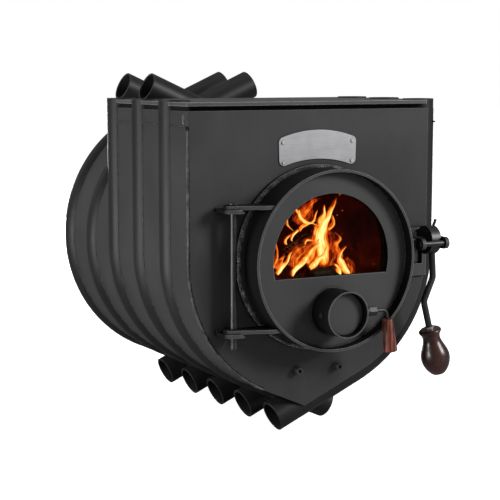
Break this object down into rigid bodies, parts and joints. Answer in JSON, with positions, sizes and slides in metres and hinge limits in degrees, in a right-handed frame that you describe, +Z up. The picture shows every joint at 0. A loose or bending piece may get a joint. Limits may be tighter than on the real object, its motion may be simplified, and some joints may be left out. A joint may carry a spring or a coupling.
{
  "type": "wood stove",
  "caption": "Warm-air wood stove: bent tubes round a drum-shaped firebox, flat cook plate, round hinged door with half-round window, air inlet valve and lever latch.",
  "frame": {"origin": "under the middle of the whole stove's bounding box, on the floor", "axes": "+X to the right seen from the front, +Y from the door towards the flue, +Z up"},
  "size_m": [0.4503, 0.6622, 0.5474],
  "materials": {
    "shell_paint": "satin heat-proof paint",
    "tube_paint": "satin heat-proof paint",
    "door_paint": "satin heat-proof paint",
    "dark_steel": "blackened",
    "bright_steel": "bright",
    "plate_aluminium": "satin",
    "window_glass": "clear",
    "seal_rope": "braided",
    "grip_wood": "waxed",
    "knob_wood": "varnished",
    "cast_iron": "raw"
  },
  "bodies": {
    "stove": {"tube_right_1": "tube_paint", "tube_left_1": "tube_paint", "tube_right_2": "tube_paint", "tube_left_2": "tube_paint", "tube_right_3": "tube_paint", "tube_left_3": "tube_paint", "tube_right_4": "tube_paint", "tube_left_4": "tube_paint", "tube_right_5": "tube_paint", "tube_left_5": "tube_paint", "side_strip_right_1": "shell_paint", "side_strip_right_2": "shell_paint", "side_strip_right_3": "shell_paint", "side_strip_right_4": "shell_paint", "side_strip_right_5": "shell_paint", "side_strip_left_1": "shell_paint", "side_strip_left_2": "shell_paint", "side_strip_left_3": "shell_paint", "side_strip_left_4": "shell_paint", "side_strip_left_5": "shell_paint", "upper_strips_right": "shell_paint", "upper_strips_left": "shell_paint", "front_plate": "shell_paint", "back_plate": "shell_paint", "bulkhead": "shell_paint", "baffle_plate": "cast_iron", "cook_plate": "shell_paint", "flue_spigot": "shell_paint", "throat_ring": "door_paint", "hinge_bracket_upper": "door_paint", "hinge_bracket_lower": "door_paint", "hinge_pin": "dark_steel", "split_pin": "dark_steel", "strike_plate": "door_paint", "nameplate": "plate_aluminium", "nameplate_rivets": "bright_steel", "front_bosses": "shell_paint"},
    "door": {"door_ring": "door_paint", "door_disc": "door_paint", "door_seal": "seal_rope", "window_glass": "window_glass", "glass_retainer": "door_paint", "glass_screws": "bright_steel", "inlet_tube": "door_paint", "door_leaf_upper": "door_paint", "door_leaf_lower": "door_paint", "latch_fork": "door_paint", "latch_axle": "dark_steel", "latch_cross_pin": "dark_steel"},
    "air_valve": {"valve_disc": "door_paint", "valve_spindle": "dark_steel", "valve_nut": "dark_steel", "valve_rod": "dark_steel", "valve_grip": "grip_wood"},
    "latch_lever": {"latch_drum": "dark_steel", "lever_rod": "dark_steel", "lever_ferrule": "bright_steel", "lever_knob": "knob_wood"},
    "damper": {"flue_damper": "cast_iron", "damper_spindle": "dark_steel"}
  },
  "joints": [
    {"name": "door_swing", "type": "hinge", "parent": "stove", "child": "door", "pos_m": [-0.156, -0.26455, 0.28624], "axis": [0, 0, -1], "range_deg": [0, 115]},
    {"name": "air_valve_turn", "type": "hinge", "parent": "door", "child": "air_valve", "pos_m": [0, -0.31405, 0.19254], "axis": [1, 0, 0], "range_deg": [-90, 0]},
    {"name": "latch_lever_swing", "type": "hinge", "parent": "door", "child": "latch_lever", "pos_m": [0.1815, -0.27455, 0.28624], "axis": [-1, 0, 0], "range_deg": [0, 45]},
    {"name": "flue_damper_turn", "type": "hinge", "parent": "stove", "child": "damper", "pos_m": [0, 0.27105, 0.34924], "axis": [1, 0, 0], "range_deg": [0, 90]}
  ]
}
